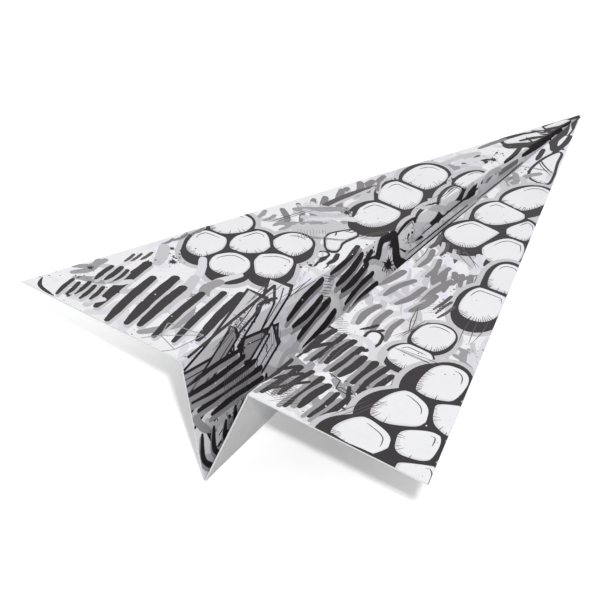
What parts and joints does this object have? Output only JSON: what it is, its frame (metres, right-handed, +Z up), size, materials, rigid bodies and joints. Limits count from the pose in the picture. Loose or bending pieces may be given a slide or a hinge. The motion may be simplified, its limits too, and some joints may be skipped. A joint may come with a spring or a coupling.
{
  "type": "folded card dart glider",
  "caption": "Hand glider folded from one stiff printed card: level delta wings hinged on creases to a V-shaped keel that is pinched to throw it.",
  "frame": {"origin": "centre of the bounding box in X and Y, at the height of the lowest point, the tail end of the keel crease", "axes": "+X to the nose, +Y to the left wing tip, +Z up and square to the level wings"},
  "size_m": [0.2996, 0.1852, 0.0494],
  "materials": {
    "printed_sheet": "satin",
    "grey_board": "matte",
    "crease_strip": "satin"
  },
  "bodies": {
    "right_keel": {"right_keel_face": "printed_sheet", "right_keel_board": "grey_board", "keel_crease": "crease_strip", "right_wing_crease": "crease_strip"},
    "left_keel": {"left_keel_face": "printed_sheet", "left_keel_board": "grey_board", "left_wing_crease": "crease_strip"},
    "left_wing": {"left_wing_face": "printed_sheet", "left_wing_board": "grey_board"},
    "right_wing": {"right_wing_face": "printed_sheet", "right_wing_board": "grey_board"}
  },
  "joints": [
    {"name": "keel_fold", "type": "hinge", "parent": "right_keel", "child": "left_keel", "pos_m": [0.15, 0, 0.04945], "axis": [-0.9866, 0, -0.1631], "range_deg": [-33, 145]},
    {"name": "left_wing_fold", "type": "hinge", "parent": "left_keel", "child": "left_wing", "pos_m": [0.15002, 0.00041, 0.0489], "axis": [0.9987, -0.0503, 0], "range_deg": [-45, 73]},
    {"name": "right_wing_fold", "type": "hinge", "parent": "right_keel", "child": "right_wing", "pos_m": [0.15002, -0.00041, 0.0489], "axis": [-0.9987, -0.0503, 0], "range_deg": [-45, 73]}
  ]
}
